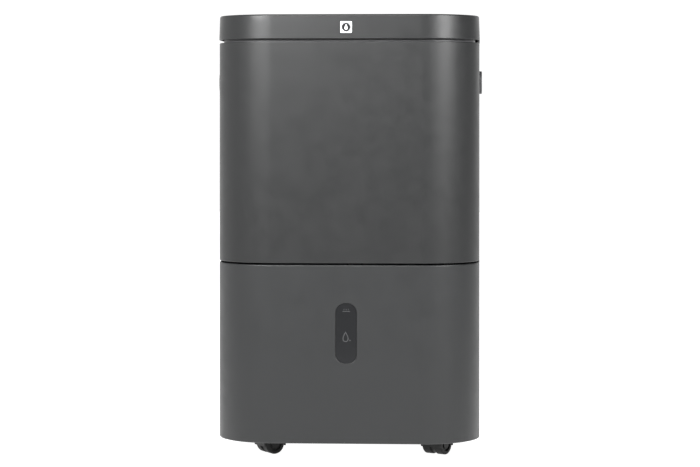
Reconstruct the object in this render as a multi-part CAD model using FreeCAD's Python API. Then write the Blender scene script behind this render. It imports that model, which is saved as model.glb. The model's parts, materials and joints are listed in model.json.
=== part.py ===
"""Portable dehumidifier on twin-wheel castors, with a pull-out water bucket in the lower half of its front.

Frame: millimetres, +Z up, origin on the floor under the middle of the cabinet. The front faces -Y and the
user's right is +X. Each sub-part is written to parts/NODE.step.
"""

import FreeCAD
import Part
import math
import os

# ---- Cabinet ------------------------------------------------------------------------------------------
WIDTH = 358.0
DEPTH = 275.0
HEIGHT = 600.0
CORNER_FRONT = 80.0
CORNER_REAR = 45.0
WALL = 2.5
SIDE_X = WIDTH / 2
FRONT_Y = -DEPTH / 2
REAR_Y = DEPTH / 2

# Heights of the horizontal joints, from the floor up, and the upright seam between front and rear shells
SKIRT_Z = 22.0
BUCKET_TOP_Z = 262.5
BODY_BOTTOM_Z = 264.5
BODY_TOP_Z = 563.0
LID_BOTTOM_Z = 567.0
SEAM_Y = -45.0
SEAM_GAP = 0.3
RIM_FILLET = 1.4

# Fits: a pin turns in a hole this much larger in radius, and separate mouldings keep a visible gap
RUNNING_GAP = 0.08
MOULD_GAP = 0.3

# ---- Lid, panel and badge -----------------------------------------------------------------------------
LID_PLATE = 3.0
LID_OVERHANG = 0.6
LID_TAPER = 0.5
LID_FILLET = 2.6
BADGE_SIDE = 15.6
BADGE_Z = 582.5
BADGE_THICK = 1.2
PANEL = (-115.0, 115.0, -112.0, -52.0)
PANEL_THICK = 1.6
PANEL_CORNER = 8.0
BUTTON_Y = -82.0
BUTTON_R = 8.0
BUTTON_PROUD = 0.7
BUTTONS = {
    "button_power": -96.0,
    "button_mode": -71.0,
    "button_fan": -46.0,
    "button_timer": 46.0,
    "button_minus": 71.0,
    "button_plus": 96.0,
}

# ---- Air outlet and louvres ---------------------------------------------------------------------------
OUTLET = (-114.0, 114.0, 6.0, 78.0)
OUTLET_CORNER = 6.0
OUTLET_BOTTOM_Z = 576.0
GUARD_BARS = 9
GUARD_PITCH = 24.6
LOUVRE_COUNT = 4
LOUVRE_PITCH = 16.4
LOUVRE_Z = 587.0
LOUVRE_CHORD = 15.4
LOUVRE_THICK = 1.8
LOUVRE_X = (-100.5, 109.6)
LOUVRE_PIN_R = 1.6
CRANK = 8.0
CRANK_LEAN = 40.0
CRANK_X = (-104.4, -102.4)
CRANK_PIN_R = 1.2

# ---- Neck, deck, tray and base ------------------------------------------------------------------------
NECK_INSET = 6.0
DECK_Z = 552.0
DECK_TOP_Z = DECK_Z + 2.5
TRAY_Z = 268.0
TRAY_TOP_Z = TRAY_Z + 3.0
TRAY_INSET = 3.2
BASE_Z = 38.0
BASE_TOP_Z = BASE_Z + 3.0
BASE_INSET = 4.0
TOP_SCREWS = [(x, 555.5) for x in (-122, 0, 122)]
TRAY_SCREWS = [(x, 278) for x in (-122, 0, 60)]
BASE_SCREWS = [(x, 48) for x in (-84, 0, 84)]
SCREW_HOLE_R = 1.9

# ---- Side grips, drain and mains bushing --------------------------------------------------------------
GRIP_Y = (-36.0, 54.0)
GRIP_Z = (494.0, 525.0)
GRIP_PROUD = 3.5
GRIP_DEPTH = 27.0
GRIP_RIM = 4.0
GRIP_WALL = 2.0
NOTCH_Z = (190.0, 250.0)
NOTCH_REACH = 20.0
DRAIN = (105.0, 276.0)
DRAIN_CUP_R = 14.5
DRAIN_CUP_WALL = 1.8
SPIGOT_R = 8.0
SPIGOT_LENGTH = 9.3
SPIGOT_BACK_R = 7.4
SPIGOT_BORE = 5.5
SPOUT = (0.0, 76.0)
SPOUT_R = 9.0
SPOUT_BORE = 7.0
GLAND = (-118.0, 70.0)
GLAND_BORE = 3.8
GLAND_HALF = 8.7
GLAND_CORNER = 3.0

# ---- Rear door ----------------------------------------------------------------------------------------
DOOR = (-137.0, 137.0, 294.5, 540.0)
DOOR_THICK = 2.6
DOOR_HINGE = (132.4, 299.0)
DOOR_PIN_R = 2.5
SLOT_ROWS = 26
SLOT_PITCH = 8.4
SLOT_HEIGHT = 4.8
SLOT_COLUMN = 86.0
FILTER_COLUMNS = 4
FILTER_ROWS = 3

# ---- Machinery ----------------------------------------------------------------------------------------
COMPRESSOR = (-98.0, -69.0)
COMPRESSOR_R = 50.0
COMPRESSOR_Z = (284.0, 448.0)
FOOT_PLATE_Z = (280.0, 284.5)
FEET_R = 59.0
COIL_X = 130.0
COIL_Z = (286.0, 534.0)
COIL_THICK = 24.0
COIL_FIN_PITCH = 6.5
COIL_FIN_GAP = 4.8
COIL_FIN_GAPS = 39
CONDENSER_Y = 50.0
EVAPORATOR_Y = 84.0
TUBE_R = 3.5
TUBE_RUNS = 10
TUBE_END_X = COIL_X + 15.0
FAN_X = 14.0
FAN_Z = 430.0
FAN_R = 68.0
FAN_Y = (-17.0, 33.0)
FAN_BLADES = 32
SHAFT_R = 4.0
SCROLL_Y = (-25.0, 40.0)
SCROLL_TOP_Z = 546.0
SCROLL_WALL = 2.2
MOTOR_R = 40.0
CONTROL_BOX = (-150.0, -42.0, -112.0, -34.0, 490.0, 546.0)

# ---- Bucket -------------------------------------------------------------------------------------------
LEVEL_WINDOW = (28.6, 81.0, 12.5)
LEVEL_WINDOW_Z = 170.5
TUB_INSET = 18.0
TUB_FLOOR_Z = 58.0
TUB_RIM_Z = 232.0
TUB_REAR_Y = 118.0
TUB_REAR_CORNER = 25.0
TUB_WALL = 2.0
TUB_FRONT_Y = FRONT_Y + TUB_INSET
TUB_SIDE_X = SIDE_X - TUB_INSET
HANDLE_PIVOT = (-30.0, 222.0)
HANDLE_PIN_R = 3.5
HANDLE_BAND = (11.0, 15.0)
HANDLE_HALF_HEIGHT = 4.5
FLOAT_PIVOT = (50.0, 214.0)
FLOAT_PIN_R = 2.5
FLOAT_X = 133.0

# ---- Castors ------------------------------------------------------------------------------------------
CASTOR_X = 116.0
CASTOR_FRONT_Y = -75.0
CASTOR_REAR_Y = 88.0
CASTOR_TRAIL = 9.0
WHEEL_R = 14.0
WHEEL_WIDTH = 13.0
CASTOR_WEB = 5.0
STEM_R = 4.0
AXLE_R = 2.5
HOOD_WALL = 1.6
CASTORS = {
    "front_left": (-CASTOR_X, CASTOR_FRONT_Y, -58.0),
    "front_right": (CASTOR_X, CASTOR_FRONT_Y, -32.0),
    "rear_left": (-CASTOR_X, CASTOR_REAR_Y, -40.0),
    "rear_right": (CASTOR_X, CASTOR_REAR_Y, -64.0),
}

# Cutting tools reach this far past what they cut
OVER = 5.0
FAR = 500.0


# ---- Helpers ------------------------------------------------------------------------------------------
def vec(x, y, z):
    return FreeCAD.Vector(x, y, z)


def box(x0, x1, y0, y1, z0, z1):
    return Part.makeBox(x1 - x0, y1 - y0, z1 - z0, vec(x0, y0, z0))


def rod(axis, radius, a, b, c0, c1):
    """A cylinder along an axis, from c0 to c1; a and b are its centre's other two coordinates in order."""
    start = {"x": vec(c0, a, b), "y": vec(a, c0, b), "z": vec(a, b, c0)}[axis]
    along = {"x": vec(1, 0, 0), "y": vec(0, 1, 0), "z": vec(0, 0, 1)}[axis]
    return Part.makeCylinder(radius, c1 - c0, start, along)


def rounded_wire(axis, a0, a1, b0, b1, radii, c):
    """A rectangle with rounded corners, across an axis at c. The radii start at (a0, b0) and go round."""
    if isinstance(radii, (int, float)):
        radii = (radii,) * 4
    place = {
        "x": lambda a, b: vec(c, a, b),
        "y": lambda a, b: vec(a, c, b),
        "z": lambda a, b: vec(a, b, c),
    }[axis]
    corners = [(a0, b0, 1, 1, 180), (a1, b0, -1, 1, 270), (a1, b1, -1, -1, 0), (a0, b1, 1, -1, 90)]
    edges, last, first = [], None, None
    for (a, b, sign_a, sign_b, start), radius in zip(corners, radii):
        centre_a, centre_b = a + sign_a * radius, b + sign_b * radius
        arc = []
        for turn in (start, start + 45, start + 90):
            angle = math.radians(turn)
            arc.append(place(centre_a + radius * math.cos(angle), centre_b + radius * math.sin(angle)))
        if last is not None and last.distanceToPoint(arc[0]) > 1e-6:
            edges.append(Part.LineSegment(last, arc[0]).toShape())
        edges.append(Part.Arc(*arc).toShape())
        first = first or arc[0]
        last = arc[2]
    if last.distanceToPoint(first) > 1e-6:
        edges.append(Part.LineSegment(last, first).toShape())
    return Part.Wire(edges)


def rounded(axis, a0, a1, b0, b1, radii, c0, c1):
    """The prism of a rounded rectangle, from c0 to c1 along its axis."""
    along = {"x": vec(1, 0, 0), "y": vec(0, 1, 0), "z": vec(0, 0, 1)}[axis]
    face = Part.Face(rounded_wire(axis, a0, a1, b0, b1, radii, c0))
    return face.extrude(along * (c1 - c0))


def centred(axis, a, half_a, b, half_b, radius, c0, c1):
    """A rounded prism given by its centre and half sizes."""
    return rounded(axis, a - half_a, a + half_a, b - half_b, b + half_b, radius, c0, c1)


def plan_wire(inset, z):
    """The cabinet's plan outline, moved in by inset."""
    front, rear = CORNER_FRONT - inset, CORNER_REAR - inset
    half_x, half_y = SIDE_X - inset, DEPTH / 2 - inset
    return rounded_wire("z", -half_x, half_x, -half_y, half_y, (front, front, rear, rear), z)


def plan_prism(inset, z0, z1):
    return Part.Face(plan_wire(inset, z0)).extrude(vec(0, 0, z1 - z0))


def band(outer, inner, z0, z1):
    """An upright wall that follows the plan outline, between two insets."""
    return plan_prism(outer, z0, z1).cut(plan_prism(inner, z0 - OVER, z1 + OVER))


def front_half(shape):
    return shape.common(box(-FAR, FAR, -FAR, SEAM_Y - SEAM_GAP, 0, HEIGHT))


def rear_half(shape):
    return shape.common(box(-FAR, FAR, SEAM_Y, FAR, 0, HEIGHT))


def mirrored(shape):
    return shape.mirror(vec(0, 0, 0), vec(1, 0, 0))


def fused(shapes):
    first = shapes[0]
    return first.fuse(shapes[1:]).removeSplitter() if len(shapes) > 1 else first


def level_edges(shape, axis, place):
    """The edges that lie wholly in the plane across an axis at that place."""
    limits = {"x": ("XMin", "XMax"), "y": ("YMin", "YMax"), "z": ("ZMin", "ZMax")}[axis]
    found = []
    for edge in shape.Edges:
        low, high = (getattr(edge.BoundBox, limit) for limit in limits)
        if abs(low - place) < 1e-4 and abs(high - place) < 1e-4:
            found.append(edge)
    return found


def outer_edges(shape, z, inset=0.0):
    """The level edges at height z that lie on the cabinet's outside surface."""
    outline = plan_wire(inset, z)
    found = []
    for edge in level_edges(shape, "z", z):
        middle = edge.valueAt((edge.FirstParameter + edge.LastParameter) / 2)
        if outline.distToShape(Part.Vertex(middle))[0] < 1e-3:
            found.append(edge)
    return found


def bent_pipe(points, bend, radius):
    """A round pipe along straight runs, joined by tangent arcs of one bend radius."""
    points = [vec(*point) for point in points]
    edges, start = [], points[0]
    for before, corner, after in zip(points, points[1:], points[2:]):
        into, out = (before - corner).normalize(), (after - corner).normalize()
        half = into.getAngle(out) / 2
        cut = bend / math.tan(half)
        middle = (into + out).normalize()
        arc_start, arc_end = corner + into * cut, corner + out * cut
        arc_middle = corner + middle * (bend / math.sin(half) - bend)
        if start.distanceToPoint(arc_start) > 1e-6:
            edges.append(Part.LineSegment(start, arc_start).toShape())
        edges.append(Part.Arc(arc_start, arc_middle, arc_end).toShape())
        start = arc_end
    if start.distanceToPoint(points[-1]) > 1e-6:
        edges.append(Part.LineSegment(start, points[-1]).toShape())
    profile = Part.Wire(Part.makeCircle(radius, points[0], points[1] - points[0]))
    return Part.Wire(edges).makePipeShell([profile], True, True)


def write(name, shape):
    """Checks that a node is made of valid closed solids, and writes it."""
    solids = shape.Solids
    assert solids, f"{name} has no solid"
    for solid in solids:
        assert solid.isValid() and solid.Volume > 0, f"{name} has a bad solid"
    out = solids[0] if len(solids) == 1 else Part.makeCompound(solids)
    out.exportStep(f"parts/{name}.step")
    volume = out.Volume / 1000
    print(f"{name:26s} solids {len(solids):3d}  faces {len(out.Faces):5d}  volume {volume:9.2f} cm3")


# ---- Lid and controls ---------------------------------------------------------------------------------
def button_holes():
    radius = BUTTON_R + MOULD_GAP
    return [rod("z", radius, x, BUTTON_Y, HEIGHT - OVER, HEIGHT + OVER) for x in BUTTONS.values()]


def lid_shell():
    """The cap over the whole top, slightly tapered, with openings for panel, buttons, outlet and badge."""
    fit = 0.15
    outer = Part.makeLoft([plan_wire(-LID_OVERHANG, LID_BOTTOM_Z), plan_wire(LID_TAPER, HEIGHT)], True, True)
    outer = outer.makeFillet(LID_FILLET, outer_edges(outer, HEIGHT, LID_TAPER))
    outer = outer.makeFillet(0.8, outer_edges(outer, LID_BOTTOM_Z, -LID_OVERHANG))
    shell = outer.cut(plan_prism(LID_TAPER + WALL, LID_BOTTOM_Z - OVER, HEIGHT - LID_PLATE))
    x0, x1, y0, y1 = PANEL
    recess = rounded(
        "z", x0 - fit, x1 + fit, y0 - fit, y1 + fit, PANEL_CORNER + fit, HEIGHT - PANEL_THICK, HEIGHT + OVER)
    x0, x1, y0, y1 = OUTLET
    outlet = rounded(
        "z", x0 - fit, x1 + fit, y0 - fit, y1 + fit, OUTLET_CORNER + fit, HEIGHT - OVER, HEIGHT + OVER)
    half = BADGE_SIDE / 2 + fit
    pocket = centred("y", 0, half, BADGE_Z, half, 1.5 + fit, FRONT_Y - OVER, FRONT_Y + 0.1 + BADGE_THICK)
    return shell.cut([recess, outlet, pocket] + button_holes())


def lid_badge():
    """A small plain square plate that sits in a pocket on the lid's front."""
    half = BADGE_SIDE / 2
    face_y = FRONT_Y + 0.1
    plate = centred("y", 0, half, BADGE_Z, half, 1.5, face_y, face_y + BADGE_THICK)
    return plate.makeChamfer(0.3, level_edges(plate, "y", face_y))


def control_panel():
    """The glossy strip that the six buttons come through."""
    x0, x1, y0, y1 = PANEL
    return rounded("z", x0, x1, y0, y1, PANEL_CORNER, HEIGHT - PANEL_THICK, HEIGHT).cut(button_holes())


def button(x):
    """A round key with a retaining flange under the lid, and a stem down to its switch."""
    flange_top = HEIGHT - LID_PLATE - MOULD_GAP
    flange_bottom = flange_top - 1.5
    cap = rod("z", BUTTON_R, x, BUTTON_Y, flange_top - 0.7, HEIGHT + BUTTON_PROUD)
    cap = cap.makeFillet(0.6, level_edges(cap, "z", HEIGHT + BUTTON_PROUD))
    flange = rod("z", BUTTON_R + 1.5, x, BUTTON_Y, flange_bottom, flange_top)
    stem = rod("z", 2.5, x, BUTTON_Y, flange_bottom - 6.8, flange_bottom + 0.1)
    return fused([cap, flange, stem])


def display_board():
    """The circuit board under the panel, with a tactile switch below each button and the display's block."""
    board_z = HEIGHT - 20.0
    board_top = board_z + 1.6
    switch_top = HEIGHT - 12.8
    parts = [rounded("z", -118, 118, -106, -58, 3, board_z, board_top)]
    for x in BUTTONS.values():
        parts.append(box(x - 3, x + 3, BUTTON_Y - 3, BUTTON_Y + 3, board_top, switch_top))
    parts.append(box(-25, 25, BUTTON_Y - 10, BUTTON_Y + 10, board_top, HEIGHT - LID_PLATE - 1))
    for x in (-110, 110):
        parts.append(rod("z", 3.5, x, -64, board_top, HEIGHT - LID_PLATE))
    return Part.makeCompound(parts)


def louvre_places():
    middle = (OUTLET[2] + OUTLET[3]) / 2
    return [middle + (i - (LOUVRE_COUNT - 1) / 2) * LOUVRE_PITCH for i in range(LOUVRE_COUNT)]


def outlet_frame():
    """The air outlet's well: a rectangular frame with guard bars on top and bearing holes for the louvres."""
    bar_half = 0.9
    x0, x1, y0, y1 = OUTLET
    frame = rounded("z", x0, x1, y0, y1, OUTLET_CORNER, OUTLET_BOTTOM_Z, HEIGHT)
    frame = frame.cut(outlet_mouth(OUTLET_BOTTOM_Z - OVER, HEIGHT + OVER))
    bars = []
    for i in range(GUARD_BARS):
        x = (i - (GUARD_BARS - 1) / 2) * GUARD_PITCH
        bars.append(box(x - bar_half, x + bar_half, y0 + 2, y1 - 2, HEIGHT - 3.6, HEIGHT - 0.6))
    frame = fused([frame] + bars)
    bore_r = LOUVRE_PIN_R + RUNNING_GAP
    return frame.cut([rod("x", bore_r, y, LOUVRE_Z, x0 - 1, x1 + 1) for y in louvre_places()])


def outlet_mouth(z0, z1):
    """The clear space inside the outlet's frame."""
    end_wall, side_wall = 3.0, 2.4
    x0, x1, y0, y1 = OUTLET
    return rounded("z", x0 + end_wall, x1 - end_wall, y0 + side_wall, y1 - side_wall, 3.6, z0, z1)


def crank_point(y):
    lean = math.radians(CRANK_LEAN)
    return y - CRANK * math.sin(lean), LOUVRE_Z - CRANK * math.cos(lean)


def louvre(y, driven):
    """A flat blade on two pins, with a crank at its left end; the first blade's pin reaches its motor."""
    half, half_thick, boss = LOUVRE_CHORD / 2, LOUVRE_THICK / 2, 1.9
    left, right = LOUVRE_X
    crank_left, crank_right = CRANK_X
    pin_left = OUTLET[0] - 8.0 if driven else OUTLET[0] + 0.5
    blade = centred("x", y, half, LOUVRE_Z, half_thick, 0.85, left, right)
    spine = rod("x", boss, y, LOUVRE_Z, crank_right - 0.4, right)
    arm = Part.makeBox(crank_right - crank_left, 3.6, CRANK, vec(crank_left, -1.8, -CRANK))
    arm = arm.fuse(rod("x", 1.8, 0, -CRANK, crank_left, crank_right))
    arm = arm.fuse(rod("x", boss, 0, 0, crank_left, crank_right))
    arm.rotate(vec(0, 0, 0), vec(1, 0, 0), -CRANK_LEAN)
    arm.translate(vec(0, y, LOUVRE_Z))
    crank_y, crank_z = crank_point(y)
    pins = [
        rod("x", LOUVRE_PIN_R, y, LOUVRE_Z, pin_left, crank_left + 0.4),
        rod("x", LOUVRE_PIN_R, y, LOUVRE_Z, right - 0.6, OUTLET[1] - 0.5),
        rod("x", CRANK_PIN_R, crank_y, crank_z, crank_left - 3.0, crank_left + 0.4),
    ]
    return fused([blade, spine, arm] + pins)


def louvre_link():
    """The bar that joins the cranks, so that the blades turn together."""
    half = 2.6
    places = [crank_point(y) for y in louvre_places()]
    z = places[0][1]
    x0, x1 = CRANK_X[0] - 2.8, CRANK_X[0] - 0.6
    bar = rounded("x", places[0][0] - half, places[-1][0] + half, z - half, z + half, 2.5, x0, x1)
    return bar.cut([rod("x", CRANK_PIN_R + RUNNING_GAP, y, z, x0 - 1, x1 + 1) for y, z in places])


def louvre_motor():
    """The small geared stepper that turns the first louvre."""
    y = louvre_places()[0]
    face_x = OUTLET[0] - 0.6
    body = rod("x", 9.0, y, LOUVRE_Z, face_x - 16.4, face_x)
    ears = rounded("x", y - 4, y + 20, LOUVRE_Z - 4, LOUVRE_Z + 4, 3.9, face_x - 1.8, face_x)
    return fused([body, ears]).cut(rod("x", LOUVRE_PIN_R + RUNNING_GAP, y, LOUVRE_Z, face_x - 10, face_x + 1))


def top_frame():
    """The neck under the lid and the deck that closes the machine space, with an opening for the duct."""
    under_lid = HEIGHT - LID_PLATE
    neck = band(NECK_INSET, NECK_INSET + WALL, DECK_Z, under_lid)
    deck = plan_prism(NECK_INSET + 1, DECK_Z, DECK_TOP_Z)
    deck = deck.cut(duct_neck(0.5, DECK_Z - 1, DECK_TOP_Z + 1))
    posts = [rod("z", 4.0, x, y, DECK_TOP_Z, under_lid) for x in (-140, 140) for y in (-70, 100)]
    return fused([neck, deck] + posts).cut(screw_holes(TOP_SCREWS))


# ---- Cabinet shells -----------------------------------------------------------------------------------
def front_casing():
    """The plain upper front: a shallow U-shaped shell with turned-in rims and inside ribs."""
    skin = plan_prism(0, BODY_BOTTOM_Z, BODY_TOP_Z)
    skin = skin.makeFillet(RIM_FILLET, outer_edges(skin, BODY_BOTTOM_Z) + outer_edges(skin, BODY_TOP_Z))
    skin = skin.cut(plan_prism(WALL, BODY_BOTTOM_Z - OVER, BODY_TOP_Z + OVER))
    bottom_rim = band(WALL - 0.5, 12, BODY_BOTTOM_Z, BODY_BOTTOM_Z + WALL)
    shell = front_half(fused([skin, top_rim(), bottom_rim]))
    ribs = []
    for x in (-60, 0, 60):
        ribs.append(box(x - 0.8, x + 0.8, FRONT_Y + WALL - 0.5, FRONT_Y + 6, TRAY_TOP_Z + 1, BODY_TOP_Z - 1))
    return fused([shell] + ribs)


def top_rim():
    """The turned-in rim that closes the gap between a casing and the neck."""
    return band(WALL - 0.5, NECK_INSET - 0.1, BODY_TOP_Z - WALL, BODY_TOP_Z)


def rear_casing():
    """The back and sides of the cabinet in one deep shell, from the skirt up to the neck."""
    skin = plan_prism(0, SKIRT_Z, BODY_TOP_Z)
    skin = skin.makeFillet(RIM_FILLET, outer_edges(skin, SKIRT_Z) + outer_edges(skin, BODY_TOP_Z))
    skin = skin.cut(plan_prism(WALL, SKIRT_Z - OVER, BODY_TOP_Z + OVER))
    shell = rear_half(fused([skin, top_rim()]))
    x0, x1, z0, z1 = DOOR
    door_hole = rounded("y", x0 - 1, x1 + 1, z0 - 2.2, z1 + 1, (3, 3, 11, 11), REAR_Y - 20, REAR_Y + OVER)
    gland_hole = gland_neck(0.2, REAR_Y - 10, REAR_Y + OVER)
    grip, notch = grip_block(0.4), pull_notch()
    cup_hollow = rod("y", DRAIN_CUP_R - DRAIN_CUP_WALL, *DRAIN, REAR_Y - 12, REAR_Y + OVER)
    shell = shell.cut([door_hole, gland_hole, grip, mirrored(grip), notch, mirrored(notch), cup_hollow])
    cup = rod("y", DRAIN_CUP_R, *DRAIN, REAR_Y - 14, REAR_Y - 1).cut(cup_hollow)
    shell = fused([shell, cup]).cut(rod("y", SPIGOT_R + 0.4, *DRAIN, REAR_Y - 20, REAR_Y))
    for side in (-1, 1):
        shell = with_hinge_ear(shell, side)
    for x, z in screw_places():
        shell = shell.cut(rod("y", 4.3, x, z, REAR_Y - 1.2, REAR_Y + OVER))
    return shell.cut(screw_holes(screw_places())).removeSplitter()


def with_hinge_ear(shell, side):
    """Adds the ear beside the rear door that holds one of its pins."""
    hinge_y, hinge_z = DOOR_HINGE
    ear_x = side * (DOOR[1] + 3.0)
    ear = box(ear_x - 2, ear_x + 2, hinge_y - 6, REAR_Y - 1, hinge_z - 6, hinge_z + 6)
    bore = rod("x", DOOR_PIN_R + RUNNING_GAP, hinge_y, hinge_z, ear_x - 3, ear_x + 3)
    return shell.fuse(ear).cut(bore)


def grip_block(grow):
    """The right grip cup's outside, grown all round."""
    y0, y1 = GRIP_Y
    z0, z1 = GRIP_Z
    rim = GRIP_RIM - grow
    return rounded("x", y0 + rim, y1 - rim, z0 + rim, z1 - rim, 9.0, SIDE_X - GRIP_DEPTH, SIDE_X + OVER)


def pull_notch():
    """The finger notch beside the bucket's edge, where the bucket is pulled."""
    z0, z1 = NOTCH_Z
    return rounded("x", SEAM_Y - NOTCH_REACH, SEAM_Y + NOTCH_REACH, z0, z1, 9.0, SIDE_X - 8, SIDE_X + OVER)


def side_grips():
    """The two hand grips: a proud rim round a finger cup, let into the cabinet's sides."""
    y0, y1 = GRIP_Y
    z0, z1 = GRIP_Z
    inset = GRIP_RIM + GRIP_WALL
    face_x = SIDE_X + GRIP_PROUD
    rim = rounded("x", y0, y1, z0, z1, 13.0, SIDE_X, face_x)
    rim = rim.makeFillet(1.4, level_edges(rim, "x", face_x))
    cup = grip_block(0).common(box(0, SIDE_X + 0.5, -FAR, FAR, 0, HEIGHT))
    back_x = SIDE_X - GRIP_DEPTH + GRIP_WALL
    hollow = rounded("x", y0 + inset, y1 - inset, z0 + inset, z1 - inset, 7.0, back_x, face_x + OVER)
    grip = fused([rim, cup]).cut(hollow)
    return Part.makeCompound([grip, mirrored(grip)])


def screw_places():
    return TOP_SCREWS + TRAY_SCREWS + BASE_SCREWS


def screw_holes(places):
    return [rod("y", SCREW_HOLE_R, x, z, REAR_Y - 12, REAR_Y + OVER) for x, z in places]


def casing_screws():
    """Pan-head screws in the back of the cabinet."""
    head_top, arm, half = REAR_Y + 0.9, 2.2, 0.4
    parts = []
    for x, z in screw_places():
        head = rod("y", 4.0, x, z, REAR_Y - 1.2, head_top)
        head = head.makeFillet(0.8, level_edges(head, "y", head_top))
        cross = [box(x - arm, x + arm, REAR_Y, REAR_Y + OVER, z - half, z + half)]
        cross.append(box(x - half, x + half, REAR_Y, REAR_Y + OVER, z - arm, z + arm))
        shank = rod("y", 1.7, x, z, REAR_Y - 8, REAR_Y - 1.1)
        parts.append(fused([head, shank]).cut(cross))
    return Part.makeCompound(parts)


def base_pan():
    """The floor of the cabinet: castor sockets, two rails that the bucket slides on, and a turned-up rim."""
    foot = BASE_TOP_Z - 0.5
    plate = plan_prism(BASE_INSET, BASE_Z, BASE_TOP_Z)
    rim = rear_half(band(BASE_INSET, BASE_INSET + WALL, foot, BASE_TOP_Z + 14))
    rail_top = TUB_FLOOR_Z - MOULD_GAP
    rails = [box(x - 3, x + 3, FRONT_Y + 20, TUB_REAR_Y - 4, foot, rail_top) for x in (-75, 75)]
    stop = box(-60, 60, TUB_REAR_Y + 1, TUB_REAR_Y + 4, foot, TUB_FLOOR_Z + 10)
    sockets = [rod("z", 9.5, x, y, BASE_Z, TUB_FLOOR_Z - 1) for x, y, _ in CASTORS.values()]
    pan = fused([plate, rim, stop] + rails + sockets)
    bore_r = STEM_R + RUNNING_GAP
    bores = [rod("z", bore_r, x, y, BASE_Z - 1, TUB_FLOOR_Z - 3) for x, y, _ in CASTORS.values()]
    return pan.cut(bores + screw_holes(BASE_SCREWS))


# ---- Rear door and filter -----------------------------------------------------------------------------
def intake_grille():
    """The louvred rear door: it hinges on two pins at its lower corners."""
    x0, x1, z0, z1 = DOOR
    back_y = REAR_Y - DOOR_THICK
    door = rounded("y", x0, x1, z0, z1, (4, 4, 10, 10), back_y, REAR_Y)
    door = door.makeFillet(0.9, level_edges(door, "y", REAR_Y))
    slots = []
    for row in range(SLOT_ROWS):
        z = (z0 + z1) / 2 + (row - (SLOT_ROWS - 1) / 2) * SLOT_PITCH
        for column in (-1, 0, 1):
            x = column * SLOT_COLUMN
            slots.append(centred("y", x, 40, z, SLOT_HEIGHT / 2, 2.3, back_y - 3, REAR_Y + OVER))
    lip = rounded("y", x0 + 3, x1 - 3, z0 + 3, z1 - 3, (3, 3, 8, 8), REAR_Y - 7, REAR_Y - 2)
    lip = lip.cut(rounded("y", x0 + 5, x1 - 5, z0 + 5, z1 - 5, (3, 3, 6, 6), REAR_Y - 8, REAR_Y - 1))
    hinge_y, hinge_z = DOOR_HINGE
    parts = [door.cut(slots), lip]
    for side in (-1, 1):
        inner, outer = sorted((side * (x1 - 5.5), side * x1))
        knuckle = box(inner, outer, hinge_y - 2.6, REAR_Y - 2, hinge_z - 2.6, hinge_z + 2.6)
        pin_from, pin_to = sorted((side * (x1 - 1), side * (x1 + 5.4)))
        parts += [knuckle, rod("x", DOOR_PIN_R, hinge_y, hinge_z, pin_from, pin_to)]
    finger_dip = rounded("y", -22, 22, z1 - 9, z1 + 6, 6.0, REAR_Y - 1.4, REAR_Y + OVER)
    return fused(parts).cut(finger_dip)


def filter_bays(y0, y1):
    """The filter's openings, in rows and columns."""
    width, height, rib = 58.0, 71.3, (5.0, 3.3)
    x0, _, z0, _ = DOOR
    bays = []
    for column in range(FILTER_COLUMNS):
        for row in range(FILTER_ROWS):
            left = x0 + 12 + column * (width + rib[0])
            low = z0 + 12 + row * (height + rib[1])
            bays.append(rounded("y", left, left + width, low, low + height, 3.0, y0, y1))
    return bays


def filter_frame():
    """The dust filter's frame, clipped inside the rear door."""
    x0, x1, z0, z1 = DOOR
    frame = rounded("y", x0 + 6, x1 - 6, z0 + 6, z1 - 6, 5.0, REAR_Y - 8.4, REAR_Y - 2.8)
    return frame.cut(filter_bays(REAR_Y - 12, REAR_Y))


def filter_mesh():
    """The filter's woven screen, one fine sheet in each bay of the frame."""
    return Part.makeCompound(filter_bays(REAR_Y - 6.2, REAR_Y - 5.6))


# ---- Refrigeration ------------------------------------------------------------------------------------
def chassis_tray():
    """The shelf between machine and bucket, with a drip basin under the coils and a spout over the bucket."""
    foot = TRAY_TOP_Z - 0.5
    plate = plan_prism(TRAY_INSET, TRAY_Z, TRAY_TOP_Z)
    basin = box(-147, 147, 44, 114, foot, TRAY_TOP_Z + 12)
    basin = basin.cut(box(-145, 145, 46, 112, foot - 1, TRAY_TOP_Z + 13))
    spout = rod("z", SPOUT_R, *SPOUT, TRAY_Z - 25, TRAY_Z + 1)
    float_sensor = box(128, 142, 84, 104, TRAY_Z - 21, TRAY_Z + 0.5)
    bosses = [box(x - 6, x + 6, 122, REAR_Y - TRAY_INSET, foot, z + 6) for x, z in TRAY_SCREWS]
    tray = fused([plate, basin, spout, float_sensor] + bosses)
    tray = tray.cut(rod("y", DRAIN_CUP_R + 0.6, *DRAIN, REAR_Y - 14.6, REAR_Y))
    spigot_tip = REAR_Y - 2.5
    spigot = rod("y", SPIGOT_R, *DRAIN, spigot_tip - SPIGOT_LENGTH, spigot_tip)
    spigot_back = rod("y", SPIGOT_BACK_R, *DRAIN, 111, spigot_tip - SPIGOT_LENGTH + 1)
    tray = fused([tray, spigot, spigot_back]).cut(screw_holes(TRAY_SCREWS))
    spout_bore = rod("z", SPOUT_BORE, *SPOUT, TRAY_Z - 30, TRAY_TOP_Z + OVER)
    spigot_bore = rod("y", SPIGOT_BORE, *DRAIN, 105, REAR_Y + OVER)
    return tray.cut([spout_bore, spigot_bore])


def drain_plug():
    """The rubber stopper in the continuous-drain spigot."""
    head_y = REAR_Y - 2.5
    head = rod("y", SPIGOT_R - 0.6, *DRAIN, head_y, REAR_Y - 0.5)
    head = head.makeFillet(0.6, level_edges(head, "y", REAR_Y - 0.5))
    return fused([head, rod("y", SPIGOT_BORE - 0.1, *DRAIN, REAR_Y - 16, head_y + 0.1)])


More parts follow.
